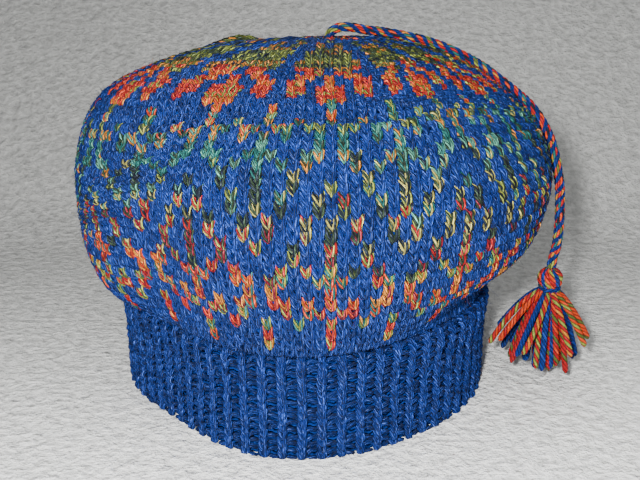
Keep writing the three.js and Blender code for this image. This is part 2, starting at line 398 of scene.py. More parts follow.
# Contrast stitches of each pattern row, as columns out from the repeat's axis, alike on both sides
LACE_CHART = [
    (0, 6), (0, 6), (0, 3, 6), (1, 2, 4), (0, 2, 4, 5), (0, 5), (0, 1, 4, 5), (0, 2, 4),
    (0, 3), (0, 3, 6), (0, 2, 5), (0, 2, 5), (1, 4, 6), (1, 4, 6), (0, 3, 6), (3, 6),
    (2, 4, 6), (1, 2, 5, 6), (1, 6), (1, 4, 6), (1, 2, 4, 5), (0, 3, 6), (0, 6), (0, 6),
]
FLOWER_CHART = [
    (0, 1), (0, 1, 4), (0, 1, 3, 4), (0, 1, 3, 4), (0, 3, 4), (0, 2, 3), (1, 2),
]
STAR_CHART = [
    (1, 2, 3), (0, 1, 2, 3), (0, 1, 2, 3), (0, 1, 2), (0, 1, 2), (0, 1, 2), (0, 1), (1,), (1,), (0,), (), (0,), (0,),
]


class RowStop(NamedTuple):
    """Where a pattern row lies on the body, and how far its columns have turned."""

    row: float
    share: float
    twist: float


ROW_STOPS = [
    RowStop(-2.4, 0.0, 6.4),
    RowStop(0, 0.176, 6.3),
    RowStop(3, 0.285, 5.1),
    RowStop(6, 0.366, 4.0),
    RowStop(10, 0.429, 3.0),
    RowStop(15, 0.519, 1.9),
    RowStop(18, 0.572, 1.4),
    RowStop(22, 0.645, 0.3),
    RowStop(25, 0.700, -0.6),
    RowStop(28, 0.744, -1.4),
    RowStop(31, 0.786, -2.2),
    RowStop(34, 0.830, -2.5),
    RowStop(37, 0.880, -2.5),
    RowStop(40, 0.930, -2.5),
    RowStop(43, 0.980, -2.5),
    RowStop(44.5, 1.0, -2.5),
]


class Drift(NamedTuple):
    """How far the upper pattern has slid on the body at one turn, in rows and degrees.

    The slide begins at a row and is whole ten rows further up.
    """

    turn: float
    rows: float
    swing: float
    begins: float


DRIFTS = [
    Drift(-110, -2.5, 0.0, 4),
    Drift(-70, -4.0, -2.0, 4),
    Drift(-50, -3.2, -2.0, 8),
    Drift(-30, -1.4, 3.0, 13),
    Drift(0, -0.7, 1.0, 17),
    Drift(15, 0.6, 0.0, 15),
    Drift(30, 2.0, -2.0, 12),
    Drift(60, 2.0, -10.0, 10),
    Drift(100, 0.0, 0.0, 10),
]
LOWEST_ROW = -2
CROWN_ROW = 24
STAR_ROW = 31
LAST_ROW = 43
REPEATS = 12
REPEAT_WIDTH = 12
REPEAT_TURN = 360.0 / REPEATS
# A slide is whole so many rows above its beginning, and fades out over the rows of the star
SLIDE_ROWS = 10
SLIDE_FADE = (32, 43)


# Tint of the highlight painted on bright fibres at the plies' crests, and the wool's own specular level
HIGHLIGHT_TINT: Colour = (0.12, 0.16, 0.17)
WOOL_SPECULAR = 0.05
# Stray fibres: their sizes in metres, how far a draw may stray, and the least height above the floor
FIBRE_RADIUS = 0.00004
FIBRE_LENGTH = (0.0015, 0.0050)
FIBRE_STRAY = 1.3
FIBRE_FLOOR = 0.0002


class Ply(Enum):
    """Mesh attributes that hold the colour of each ply."""

    FIRST = "ply_a"
    SECOND = "ply_b"
    THIRD = "ply_c"


def untwisted_frames(paths: np.ndarray) -> tuple[np.ndarray, np.ndarray]:
    """Two directions across each path that don't twist along it.

    Args:
        paths: Points as paths by points by 3.

    Returns:
        Both directions at each point.
    """
    tangents = np.gradient(paths, axis=1)
    tangents /= np.linalg.norm(tangents, axis=2, keepdims=True)
    guide = np.where(np.abs(tangents[:, 0, 2:3]) < 0.8, [[0.0, 0.0, 1.0]], [[1.0, 0.0, 0.0]])
    sides = np.empty_like(paths)
    for ring in range(paths.shape[1]):
        across = guide - tangents[:, ring] * np.sum(guide * tangents[:, ring], axis=1, keepdims=True)
        sides[:, ring] = across / np.linalg.norm(across, axis=1, keepdims=True)
        guide = sides[:, ring]
    return sides, np.cross(tangents, sides)


def extrude(mesh: bmesh.types.BMesh, edges: list[bmesh.types.BMEdge], shift: Triple) -> list[bmesh.types.BMEdge]:
    """Extrude edges into faces.

    Args:
        mesh: The mesh that holds them.
        edges: The edges to extrude.
        shift: How far the new edges move.

    Returns:
        The new edges.
    """
    grown = bmesh.ops.extrude_edge_only(mesh, edges=edges)["geom"]
    verts = [item for item in grown if isinstance(item, bmesh.types.BMVert)]
    bmesh.ops.translate(mesh, verts=verts, vec=shift)
    return [item for item in grown if isinstance(item, bmesh.types.BMEdge)]


def add_object(name: str, data: bpy.types.ID) -> Piece:
    """Put a new object into the scene.

    Args:
        name: Its name.
        data: Its mesh, light or camera.

    Returns:
        The object, at the origin.
    """
    thing = bpy.data.objects.new(name, data)
    bpy.context.scene.collection.objects.link(thing)
    return thing


def add_smooth(name: str, mesh: bmesh.types.BMesh) -> Piece:
    """Turn a bmesh into a smooth object.

    Args:
        name: The object's name.
        mesh: The bmesh, which is freed.

    Returns:
        The object, with its faces outwards.
    """
    bmesh.ops.recalc_face_normals(mesh, faces=mesh.faces)
    data = bpy.data.meshes.new(name)
    mesh.to_mesh(data)
    mesh.free()
    data.shade_smooth()
    return add_object(name, data)


@dataclass(frozen=True)
class Tube:
    """A straight tube of unit radius as arrays, ready to be bent along many paths."""

    level: np.ndarray
    cosine: np.ndarray
    sine: np.ndarray
    faces: np.ndarray
    face_round: np.ndarray

    @classmethod
    def make(cls, levels: int, sides: int) -> "Tube":
        """Extrude a circle along Z and read it into arrays.

        Args:
            levels: Lengths of tube between two rings.
            sides: Faces round the tube.

        Returns:
            The tube.
        """
        mesh = bmesh.new()
        bmesh.ops.create_circle(mesh, radius=1.0, segments=sides)
        edges = list(mesh.edges)
        for _ in range(levels):
            edges = extrude(mesh, edges, (0.0, 0.0, 1.0))
        bmesh.ops.recalc_face_normals(mesh, faces=mesh.faces)
        mesh.verts.index_update()
        points = np.array([vert.co[:] for vert in mesh.verts])
        faces = np.array([[vert.index for vert in face.verts] for face in mesh.faces])
        mesh.free()
        around = np.mod(np.arctan2(points[:, 1], points[:, 0]) / (2 * math.pi), 1.0)[faces]
        wraps = (around.max(axis=1) - around.min(axis=1))[:, None] > 0.5
        face_round = np.where(wraps & (around < 0.25), around + 1.0, around)
        return cls(np.rint(points[:, 2]).astype(int), points[:, 0], points[:, 1], faces, face_round)

    def bend(self, paths: np.ndarray, radii: np.ndarray) -> tuple[np.ndarray, np.ndarray]:
        """Lay copies of the tube along paths.

        Args:
            paths: Points of each copy's middle line, as copies by rings by 3.
            radii: Radius of each copy at each ring.

        Returns:
            The corners as copies by corners by 3, and each corner's distance along its path.
        """
        sides, others = untwisted_frames(paths)
        rings = self.level
        offset = self.cosine[None, :, None] * sides[:, rings] + self.sine[None, :, None] * others[:, rings]
        return paths[:, rings] + radii[:, rings, None] * offset, run_along(paths)[:, rings]

    def lay(self, paths: np.ndarray, radius: float, rng: Random) -> tuple[np.ndarray, np.ndarray]:
        """Lay yarn of slightly uneven thickness along paths, each from its own place in the skein.

        Args:
            paths: Points of each length's middle line, as lengths by rings by 3.
            radius: The yarn's radius.
            rng: The random numbers.

        Returns:
            The corners as lengths by corners by 3, and each corner's distance along the yarn.
        """
        uneven = radius * rng.normal(1.0, 0.06, (len(paths), 1))
        points, run = self.bend(paths, uneven * np.ones((1, paths.shape[1])))
        return points, run + rng.random((len(paths), 1)) * 0.01


def joined_mesh(
    name: str, tube: Tube, points: np.ndarray, along: np.ndarray, shades: np.ndarray, spin: np.ndarray
) -> Piece:
    """One object from many bent tubes, with the yarn's map and the colour of each ply.

    Args:
        name: The piece's name.
        tube: The tube that was bent.
        points: Corners as copies by corners by 3.
        along: Distance of each corner along its yarn.
        shades: Colours of the three plies, as copies by 3 by 3.
        spin: Turn of the plies at the start of each copy, in turns.

    Returns:
        The new object.
    """
    copies, corners = points.shape[:2]
    faces = (tube.faces[None] + (np.arange(copies) * corners)[:, None, None]).reshape(-1, tube.faces.shape[1])
    mesh = bpy.data.meshes.new(name)
    mesh.vertices.add(copies * corners)
    mesh.vertices.foreach_set("co", points.astype(np.float32).ravel())
    mesh.loops.add(faces.size)
    mesh.loops.foreach_set("vertex_index", faces.astype(np.int32).ravel())
    mesh.polygons.add(len(faces))
    mesh.polygons.foreach_set("loop_start", np.arange(0, faces.size, faces.shape[1], dtype=np.int32))
    mesh.polygons.foreach_set("use_smooth", np.ones(len(faces), dtype=bool))
    mesh.update(calc_edges=True)
    layer = mesh.uv_layers.new(name="yarn")
    spots = np.empty((copies, *tube.faces.shape, 2), dtype=np.float32)
    spots[..., 0] = along[:, tube.faces]
    spots[..., 1] = tube.face_round[None] + spin[:, None, None]
    layer.data.foreach_set("uv", spots.ravel())
    for index, ply in enumerate(Ply):
        colour = np.ones((copies, corners, 4), dtype=np.float32)
        colour[:, :, :3] = shades[:, None, index]
        attribute = mesh.attributes.new(ply.value, "FLOAT_COLOR", "POINT")
        attribute.data.foreach_set("color", colour.ravel())
    LOG.info("%s: %d lengths of yarn, %d faces", name, copies, len(faces))
    return add_object(name, mesh)


def settle(piece: Piece, material: Material, slot: str, *nodes: str) -> None:
    """Dress a piece, put it on the hat's body and hide the CAD nodes that it replaces.

    Args:
        piece: The new piece.
        material: Its finish.
        slot: Not used.
        nodes: CAD nodes that the piece replaces.
    """
    piece.data.materials.clear()
    piece.data.materials.append(material)
    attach(piece, "root")
    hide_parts(*nodes)


@dataclass(frozen=True)
class Graph:
    """A node tree, with short ways to add to it."""

    tree: NodeTree

    def feed(self, node: bpy.types.Node, inputs: dict[str | int, object]) -> None:
        """Link or set inputs of a node.

        Args:
            node: The node.
            inputs: A socket or value for each input, by its name or place.
        """
        for name, value in inputs.items():
            if isinstance(value, Socket):
                self.tree.links.new(value, node.inputs[name])
            else:
                node.inputs[name].default_value = value

    def node(self, kind: str, inputs: dict[str | int, object], **settings: object) -> Outputs:
        """Add a node.

        Args:
            kind: Its type, without the words ShaderNode.
            inputs: A socket or value for each input, by its name or place.
            settings: The node's own properties.

        Returns:
            The node's outputs.
        """
        node = self.tree.nodes.new("ShaderNode" + kind)
        for name, value in settings.items():
            setattr(node, name, value)
        self.feed(node, inputs)
        return node.outputs

    def math(self, operation: str, *values: object) -> Socket:
        """Result of a Math node on sockets or numbers."""
        return self.node("Math", dict(enumerate(values)), operation=operation)[0]

    def mix(self, blend: str, factor: object, first: object, second: object) -> Socket:
        """Result of a colour Mix node on sockets or values."""
        return self.node("Mix", {0: factor, 6: first, 7: second}, data_type="RGBA", blend_type=blend)[2]

    def grey(self, value: Socket) -> Socket:
        """A colour whose three parts are all the value."""
        return self.node("CombineColor", {0: value, 1: value, 2: value})[0]

    def fade(self, value: Socket, places: tuple[float, float], levels: tuple[float, float]) -> Socket:
        """An eased ramp over two places, from one level to another."""
        ends = {"From Min": places[0], "From Max": places[1], "To Min": levels[0], "To Max": levels[1]}
        return self.node("MapRange", {"Value": value, **ends}, interpolation_type="SMOOTHSTEP")[0]

    def raise_height(self, height: Socket, relief: float) -> Socket:
        """The normal of a surface with the height, which is so deep in metres."""
        return self.node("Bump", {"Strength": 1.0, "Distance": relief, "Height": height})[0]


def open_group(name: str, inputs: dict[str, str]) -> tuple[Graph, Outputs, bpy.types.Node]:
    """Start a node group that puts out Colour and Height.

    Args:
        name: The group's name.
        inputs: The kind of each input, by its name.

    Returns:
        The group's graph, the sockets of its inputs, and the node that its outputs go to.
    """
    tree = bpy.data.node_groups.new(name, "ShaderNodeTree")
    for label, kind in inputs.items():
        tree.interface.new_socket(name=label, in_out="INPUT", socket_type="NodeSocket" + kind)
    for label, kind in (("Colour", "Color"), ("Height", "Float")):
        tree.interface.new_socket(name=label, in_out="OUTPUT", socket_type="NodeSocket" + kind)
    return Graph(tree), tree.nodes.new("NodeGroupInput").outputs, tree.nodes.new("NodeGroupOutput")


def yarn_group() -> NodeTree:
    """Node group that twists three coloured plies round a yarn and gives them fibres, with painted shade in the grooves
    between plies and painted highlights on bright fibres.

    Returns:
        The group, with the outputs Colour and Height.
    """
    graph, taken, given = open_group("yarn_plies", {
        "Map": "Vector", "First": "Color", "Second": "Color", "Third": "Color",
        "Turn Length": "Float", "Places": "Float", "Fibre Contrast": "Float", "Groove Shade": "Float",
    })
    along, across, _ = graph.node("SeparateXYZ", {0: taken["Map"]})
    helix = graph.math("ADD", graph.math("DIVIDE", along, taken["Turn Length"]), across)
    place = graph.math("ADD", graph.math("MULTIPLY", helix, taken["Places"]), 400.0)
    which = graph.math("MODULO", place, 4.0)
    arch = graph.math("SINE", graph.math("MULTIPLY", graph.math("FRACT", place), math.pi))
    ply = taken["First"]
    for edge, socket in ((1.0, "Second"), (2.0, "Third"), (3.0, "Second")):
        ply = graph.mix("MIX", graph.math("GREATER_THAN", which, edge), ply, taken[socket])
    spread = {0: graph.math("MULTIPLY", along, 380.0), 1: graph.math("MULTIPLY", helix, 13.0)}
    strands = {"Vector": graph.node("CombineXYZ", spread)[0], "Scale": 1.0, "Detail": 3.0, "Roughness": 0.65}
    fibre = graph.math("SUBTRACT", graph.node("TexNoise", strands)["Fac"], 0.5)
    contrast, groove_shade = taken["Fibre Contrast"], taken["Groove Shade"]
    lit = graph.math("MAXIMUM", graph.math("MULTIPLY_ADD", fibre, contrast, 1.0), 0.12)
    # Painted shade: each ply darkens from its crest towards the grooves between plies
    shade = graph.math("MULTIPLY_ADD", graph.math("POWER", arch, 0.7), groove_shade, graph.math("SUBTRACT", 1.0, groove_shade))
    # Painted highlight: bright fibres on the plies' crests are lightened and tinted towards white
    highlight_fibres = graph.math("MAXIMUM", graph.math("SUBTRACT", fibre, 0.04), 0.0)
    painted_highlight = graph.math("MULTIPLY", graph.math("MULTIPLY", highlight_fibres, arch), contrast)
    highlight_boost = graph.math("MULTIPLY_ADD", painted_highlight, 1.2, 1.0)
    value = graph.math("MULTIPLY", graph.math("MULTIPLY", lit, shade), highlight_boost)
    highlight_tints = [graph.math("MULTIPLY", painted_highlight, strength) for strength in HIGHLIGHT_TINT]
    dyed = graph.mix("MULTIPLY", 1.0, ply, graph.grey(value))
    colour = graph.mix("ADD", 1.0, dyed, graph.node("CombineColor", dict(enumerate(highlight_tints)))[0])
    height = graph.math("MULTIPLY_ADD", fibre, 0.9, graph.math("POWER", arch, 0.6))
    graph.feed(given, {"Colour": colour, "Height": height})
    return graph.tree


def purl_group() -> NodeTree:
    """Node group that draws swaying rows of purl ridges in plain wool, with painted shade in the troughs between
    ridges.

    Returns:
        The group, with the outputs Colour and Height.
    """
    graph, taken, given = open_group("purl_ridges", {
        "Map": "Vector", "Place": "Vector", "Columns": "Float", "Rows": "Float", "Dye": "Color",
    })
    around, along, _ = graph.node("SeparateXYZ", {0: taken["Map"]})
    up = graph.math("MULTIPLY", along, graph.math("MULTIPLY", taken["Rows"], 2 * math.pi))
    across = graph.math("MULTIPLY", around, graph.math("MULTIPLY", taken["Columns"], 2 * math.pi))
    sway = graph.math("MULTIPLY", graph.math("SINE", across), 1.2)
    ridge = graph.math("SINE", graph.math("ADD", up, sway))
    fibre = graph.node("TexNoise", {"Vector": taken["Place"], "Scale": 900.0})["Fac"]
    # Painted shade: the colour darkens in the troughs between the ridges
    shade = graph.math("MULTIPLY", graph.math("MULTIPLY_ADD", ridge, 0.25, 0.8), fibre)
    colour = graph.mix("MULTIPLY", 1.0, taken["Dye"], graph.grey(shade))
    graph.feed(given, {"Colour": colour, "Height": graph.math("MULTIPLY_ADD", fibre, 0.7, ridge)})
    return graph.tree


def new_material(name: str) -> tuple[Material, Graph, bpy.types.Node]:
    """Start a material.

    Args:
        name: Its name.

    Returns:
        The material, its graph and its shader.
    """
    material = bpy.data.materials.new(name)
    material.use_nodes = True
    return material, Graph(material.node_tree), material.node_tree.nodes["Principled BSDF"]


@dataclass(frozen=True)
class YarnFinish:
    """Spun wool of three plies, with its colours in the mesh."""

    name: str
    turn_length: float = 0.017
    places: float = 6.0
    fibre_contrast: float = 6.0
    # Depth of the painted shade in the grooves between plies
    groove_shade: float = 0.72
    relief: float = 0.0011
    sheen: float = 0.06

    def build(self, group: NodeTree) -> Material:
        """Make the material.

        Args:
            group: The group of plies.

        Returns:
            The material.
        """
        material, graph, shader = new_material(self.name)
        inputs = {
            "Map": graph.node("UVMap", {}, uv_map="yarn")[0], "Turn Length": self.turn_length,
            "Places": self.places, "Fibre Contrast": self.fibre_contrast, "Groove Shade": self.groove_shade,
        }
        for socket, ply in zip(("First", "Second", "Third"), Ply):
            inputs[socket] = graph.node("Attribute", {}, attribute_name=ply.value)["Color"]
        yarn = graph.node("Group", inputs, node_tree=group)
        graph.feed(shader, {
            "Base Color": yarn["Colour"], "Normal": graph.raise_height(yarn["Height"], self.relief),
            "Roughness": 0.8, "Specular IOR Level": WOOL_SPECULAR, "Sheen Weight": self.sheen,
            "Sheen Roughness": 0.5, "Sheen Tint": (0.55, 0.68, 1.0, 1.0),
        })
        return material


@dataclass(frozen=True)
class LiningFinish:
    """Blue wool seen from inside, with rows of purl ridges."""

    name: str
    colour: Colour = (0.012, 0.076, 0.48)
    columns: float = 144.0
    rows: float = 48.0
    relief: float = 0.0008

    def build(self, group: NodeTree) -> Material:
        """Make the material on the lining's own map.

        Args:
            group: The group of purl ridges.

        Returns:
            The material.
        """
        material, graph, shader = new_material(self.name)
        inputs = {
            "Map": graph.node("UVMap", {}, uv_map="yarn")[0], "Place": graph.node("TexCoord", {})["Object"],
            "Columns": self.columns, "Rows": self.rows, "Dye": (*self.colour, 1.0),
        }
        purl = graph.node("Group", inputs, node_tree=group)
        graph.feed(shader, {
            "Base Color": purl["Colour"], "Normal": graph.raise_height(purl["Height"], self.relief),
            "Roughness": 0.9, "Specular IOR Level": WOOL_SPECULAR,
        })
        return material


@dataclass
class Stitches:
    """Knit stitches as arrays, one entry each.

    A stitch stands in a row, in a column counted from its wedge's heading, and is so many columns wide.
    """

    heading: np.ndarray
    column: np.ndarray
    width: np.ndarray
    row: np.ndarray
    shades: np.ndarray

    def pick(self, chosen: np.ndarray) -> "Stitches":
        """The chosen stitches alone."""
        return Stitches(
            self.heading[chosen], self.column[chosen], self.width[chosen], self.row[chosen], self.shades[chosen]
        )


@dataclass(frozen=True)
class YarnShades:
    """Picks the ply colours of each stitch or strand."""

    level: float = 0.81
    spread: float = 0.08

    def main(self, count: int, rng: Random) -> np.ndarray:
        """Three blue plies of the main yarn.

        Args:
            count: Lengths of yarn.
            rng: The random numbers.

        Returns:
            Colours as lengths by 3 by 3.
        """
        palette = np.array(BLUE_SHADES)
        plies = palette[rng.integers(0, len(palette), (count, 3))]
        light = self.level + self.spread * rng.standard_normal((count, 1, 1)).clip(-1.6, 1.6)
        return plies * light

    def contrast(self, rows: np.ndarray, spots: np.ndarray, rng: Random) -> np.ndarray:
        """Three plies of the variegated yarn.

        Args:
            rows: Pattern row of each length of yarn.
            spots: Place of each length round its row, from 0 to 1.
            rng: The random numbers.

        Returns:
            Colours as lengths by 3 by 3.
        """
        plies = np.empty((len(rows), 3, 3))
        blurred = rows + 0.9 * rng.standard_normal(len(rows))
        starts = np.array([zone.first_row for zone in ZONES])
        zones = np.clip(np.searchsorted(starts, blurred, side="right") - 1, 0, len(ZONES) - 1)
        run = rows * 0.61 + spots * 7.3 + 0.6 * np.sin(rows * 2.1 + spots * 19.0)
        for index, zone in enumerate(ZONES):
            here = np.flatnonzero(zones == index)
            shades = np.array(zone.shades)
            for ply in range(3):
                step = np.floor(run[here] * 2 + ply * 1.7 + 0.8 * rng.random(len(here))).astype(int)
                plies[here, ply] = shades[step % len(shades)]
        light = self.level + self.spread * rng.standard_normal((len(rows), 3, 1)).clip(-1.6, 1.6)
        return plies * light


@dataclass
class BodyKnit:
    """The stranded body, stitch by stitch, on a lining."""

    form: TamForm
    shades: YarnShades
    row_height: float = 0.0048
    column_width: float = 0.0051
    yarn_radius: float = 0.00128
    sink: float = 0.0004
    levels: int = 4
    sides: int = 6
    # How far a leg strays across, up and out, and how far it bends sideways
    shift: Triple = (0.00010, 0.00022, 0.00014)
    bend: float = 0.00008
    # Across, up and out of the right leg's middle line, in shares of a column, of a row, and in metres
    leg: tuple[Triple, ...] = (
        (0.05, -0.34, -0.0009),
        (0.12, -0.06, 0.00035),
        (0.22, 0.24, 0.0009),
        (0.32, 0.54, 0.0006),
        (0.38, 0.86, -0.0008),
    )

    def share(self, row: np.ndarray) -> np.ndarray:
        """Place on the form of each pattern row."""
        return np.interp(row, [stop.row for stop in ROW_STOPS], [stop.share for stop in ROW_STOPS])

    def twist(self, row: np.ndarray) -> np.ndarray:
        """Turn of the columns at each pattern row, in degrees."""
        return np.interp(row, [stop.row for stop in ROW_STOPS], [stop.twist for stop in ROW_STOPS])

    def wedge_width(self, row: np.ndarray) -> np.ndarray:
        """Stitches across one repeat, fewer towards the crown centre.

        Args:
            row: The pattern rows.

        Returns:
            The stitches at each row.
        """
        radius, _ = self.form.outline(self.share(row))
        rim, _ = self.form.outline(self.share(np.array([CROWN_ROW - 1.0])))
        return np.where(row < CROWN_ROW - 1, REPEAT_WIDTH, np.clip(REPEAT_WIDTH * radius / rim[0], 0.7, REPEAT_WIDTH))

    def place(self, stitches: Stitches, local: np.ndarray) -> np.ndarray:
        """Map points of each stitch onto the body.

        Args:
            stitches: The stitches.
            local: Metres across, up and out of the fabric, as stitches by points by 3.

        Returns:
            The points in the hat's frame.
        """
        row = stitches.row[:, None] + local[..., 1] / self.row_height
        across = stitches.column[:, None] + local[..., 0] / self.column_width * stitches.width[:, None]
        turn = stitches.heading[:, None] + across * REPEAT_TURN / self.wedge_width(row) + self.twist(row)
        turns = [drift.turn for drift in DRIFTS]
        begins = np.interp(turn, turns, [drift.begins for drift in DRIFTS], period=360)
        weight = smoothstep(row - begins, 0, SLIDE_ROWS) * (1.0 - smoothstep(row, *SLIDE_FADE))
        slid = row + weight * np.interp(turn, turns, [drift.rows for drift in DRIFTS], period=360)
        turn = turn + weight * np.interp(turn, turns, [drift.swing for drift in DRIFTS], period=360)
        return self.form.body(turn, self.share(slid), local[..., 2] - self.sink)

    def is_contrast(self, row: int, column: int) -> bool:
        """Whether the pattern puts the contrast yarn in a stitch.

        Args:
            row: The pattern row.
            column: Columns out from the repeat's axis, on either side.

        Returns:
            True for the contrast yarn.
        """
        if row < 0:
            return False
        if row < CROWN_ROW:
            return column in LACE_CHART[row]
        if row < STAR_ROW:
            return column in FLOWER_CHART[row - CROWN_ROW]
        return column in STAR_CHART[row - STAR_ROW]

    def lay_out(self, rng: Random) -> Stitches:
        """List every stitch of the body with its colours.

        Args:
            rng: The random numbers.

        Returns:
            The stitches.
        """
        rows = []
        contrast = []
        for row in range(LOWEST_ROW, LAST_ROW + 1):
            width = float(self.wedge_width(np.array([float(row)]))[0])
            reach = max(int((width - 1.6) // 2), 0)
            gap = width - (2 * reach + 1)
            edges = 1 if gap < 1.6 else 2
            for repeat in range(REPEATS):
                axis = repeat * REPEAT_TURN
                for column in range(-reach, reach + 1):
                    rows.append((axis, column, 1.0, row))
                    contrast.append(self.is_contrast(row, abs(column)))
                for edge in range(edges):
                    offset = 0.0 if edges == 1 else (edge - 0.5) * gap / 2
                    rows.append((axis + REPEAT_TURN / 2, offset, gap / edges, row))
                    contrast.append(row < STAR_ROW and self.is_contrast(row, min(reach + 1, REPEAT_WIDTH // 2)))
        table = np.array(rows, dtype=float)
        marked = np.array(contrast)
        shades = self.shades.main(len(table), rng)
        spots = np.mod(table[marked, 0] / 360.0, 1.0)
        shades[marked] = self.shades.contrast(table[marked, 3], spots, rng)
        return Stitches(table[:, 0], table[:, 1], table[:, 2], table[:, 3], shades)

    def knit(self, name: str, stitches: Stitches, rng: Random) -> Piece:
        """Lay both legs of each stitch as short lengths of yarn.

        Args:
            name: The piece's name.
            stitches: The stitches to make.
            rng: The random numbers.

        Returns:
            The new object.
        """
        count = len(stitches.row)
        tube = Tube.make(self.levels, self.sides)
        leg = np.array(self.leg) * (self.column_width, self.row_height, 1.0)
        points = []
        along = []
        for side in (-1.0, 1.0):
            paths = np.repeat(leg[None], count, axis=0) * (side, 1.0, 1.0)
            paths[:, :, 0] += rng.normal(0.0, self.shift[0], (count, 1)) + rng.normal(0.0, self.bend, (count, len(leg)))
            paths[:, :, 1] += rng.normal(0.0, self.shift[1], (count, 1))
            paths[:, :, 2] += rng.normal(0.0, self.shift[2], (count, 1))
            local, run = tube.lay(paths, self.yarn_radius, rng)
            points.append(self.place(stitches, local))
            along.append(run)
        shades = np.concatenate([stitches.shades, stitches.shades])
        return joined_mesh(name, tube, np.concatenate(points), np.concatenate(along), shades, rng.random(2 * count))


@dataclass
class BandKnit:
    """The ribbed band, one knit and one purl column at a time."""

    form: TamForm
    shades: YarnShades
    row_height: float = 0.0037
    knit_width: float = 0.0038
    purl_width: float = 0.0060
    face_length: float = 0.0575
    rows: int = 16
    yarn_radius: float = 0.00128
    purl_radius: float = 0.001216
    valley: float = 0.0008
    # Painted shade on the purl bumps, which lie in the valleys between the knit ribs
    purl_painted_shade: float = 0.74
    # How far a leg and a bump stray, and how a bump tilts, as rise over run
    shift: float = 0.0002
    bump_shift: Triple = (0.0003, 0.0006, 0.0003)
    bump_tilt: float = 0.3
    levels: int = 4
    sides: int = 6
    leg: tuple[Triple, ...] = (
        (0.04, -0.34, -0.0012),
        (0.14, -0.06, -0.0003),
        (0.23, 0.24, 0.0001),
        (0.30, 0.54, -0.0002),
        (0.34, 0.86, -0.0013),
    )
    bump: tuple[Triple, ...] = (
        (-0.34, -0.10, -0.0012),
        (-0.20, 0.14, -0.0002),
        (0.0, 0.24, 0.0002),
        (0.20, 0.14, -0.0002),
        (0.34, -0.10, -0.0012),
    )

    def place(self, turns: np.ndarray, rows: np.ndarray, local: np.ndarray) -> np.ndarray:
        """Map points of each stitch onto the band.

        Args:
            turns: Turn of each stitch's column.
            rows: Row of each stitch.
            local: Metres across, up and out of the fabric, as stitches by points by 3.

        Returns:
            The points in the hat's frame.
        """
        turn = turns[:, None] + np.degrees(local[..., 0] / (self.form.band_width / 2))
        share = (rows[:, None] * self.row_height + local[..., 1]) / self.face_length
        return self.form.band(turn, np.clip(share, 0.0, 1.0), local[..., 2])

    def knit(self, name: str, rng: Random) -> list[Piece]:
        """Make the knit columns and the purl bumps between them.

        Args:
            name: The start of the pieces' names.
            rng: The random numbers.

        Returns:
            The two new objects.
        """
        step = 360.0 / self.form.rib_count
        columns, rows = (grid.ravel() for grid in np.meshgrid(np.arange(self.form.rib_count), np.arange(self.rows)))
        count = len(columns)
        tube = Tube.make(self.levels, self.sides)
        legs = []
        runs = []
        for side in (-1.0, 1.0):
            leg = np.array(self.leg) * (side * self.knit_width, self.row_height, 1.0)
            paths = np.repeat(leg[None], count, axis=0) + rng.normal(0.0, self.shift, (count, 1, 3))
            local, run = tube.lay(paths, self.yarn_radius, rng)
            legs.append(self.place(columns * step, rows.astype(float), local))
            runs.append(run)
        shades = self.shades.main(2 * count, rng)
        knits = joined_mesh(
            name + "_knit", tube, np.concatenate(legs), np.concatenate(runs), shades, rng.random(2 * count)
        )
        bump = np.array(self.bump) * (self.purl_width, self.row_height, 1.0) - (0.0, 0.0, self.valley)
        paths = np.repeat(bump[None], count, axis=0) + rng.normal(0.0, self.bump_shift, (count, 1, 3))
        paths[:, :, 1] += rng.normal(0.0, self.bump_tilt, (count, 1)) * bump[:, 0]
        local, run = tube.bend(paths, np.full((count, len(bump)), self.purl_radius))
        points = self.place((columns + 0.5) * step, rows.astype(float), local)
        # The purl bumps get painted shade for lying in the valleys between the ribs
        shades = self.shades.main(count, rng) * self.purl_painted_shade
        purls = joined_mesh(name + "_purl", tube, points, run, shades, rng.random(count))
        return [knits, purls]


